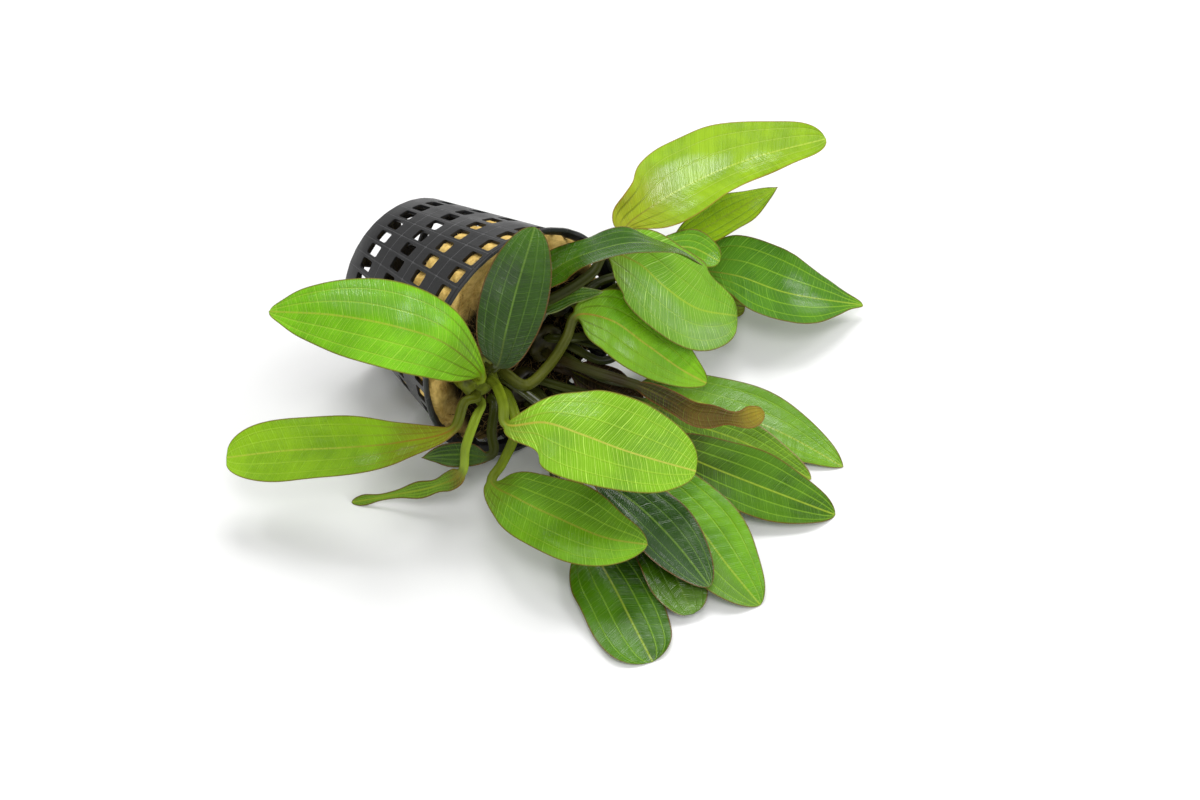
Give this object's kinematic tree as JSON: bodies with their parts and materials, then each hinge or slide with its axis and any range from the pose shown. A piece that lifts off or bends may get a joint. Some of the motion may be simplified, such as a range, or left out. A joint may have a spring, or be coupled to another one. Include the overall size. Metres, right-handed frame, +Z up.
{
  "type": "potted echinodorus",
  "caption": "Young echinodorus in a black net pot with rock wool, lying on its side with its long-stalked elliptical leaves spread over the floor.",
  "frame": {"origin": "on the floor, below the middle of the whole plant's box", "axes": "+X to the right of the picture and along the longest extent, +Y away from the viewer, +Z up from the floor"},
  "size_m": [0.1437, 0.1275, 0.0612],
  "materials": {
    "black_plastic": "satin black moulded plastic",
    "rock_wool": "damp ochre mineral fibre",
    "crown_flesh": "wet plant flesh",
    "leaf_lime": "wet glossy leaf",
    "leaf_green": "wet glossy leaf",
    "leaf_deep": "wet glossy leaf",
    "leaf_olive": "wet glossy leaf",
    "leaf_brown": "dull dying leaf"
  },
  "bodies": {
    "root": {"net_pot": "black_plastic", "rock_wool_plug": "rock_wool", "crown_left": "crown_flesh", "crown_upper": "crown_flesh", "crown_right": "crown_flesh", "crown_front": "crown_flesh", "crown_back": "crown_flesh", "leaf_left_upper": "leaf_green", "leaf_left_lower": "leaf_green", "leaf_left_curled": "leaf_green", "leaf_left_low": "leaf_deep", "leaf_upright": "leaf_deep", "leaf_front_large": "leaf_lime", "leaf_front_low": "leaf_green", "leaf_right_long": "leaf_green", "leaf_front_right": "leaf_deep", "leaf_arched": "leaf_deep", "leaf_right_broad": "leaf_green", "leaf_young": "leaf_green", "leaf_right_small": "leaf_green", "leaf_back_large": "leaf_lime", "leaf_back_under": "leaf_lime", "leaf_right_back": "leaf_green", "leaf_right_hidden": "leaf_olive", "leaf_right_under": "leaf_olive", "leaf_right_curled": "leaf_olive", "leaf_right_top": "leaf_green", "leaf_old_brown": "leaf_brown", "leaf_right_middle": "leaf_olive", "leaf_right_bottom": "leaf_green", "leaf_front_outer": "leaf_green", "leaf_front_wet": "leaf_deep", "leaf_front_bottom": "leaf_green"}
  },
  "joints": []
}
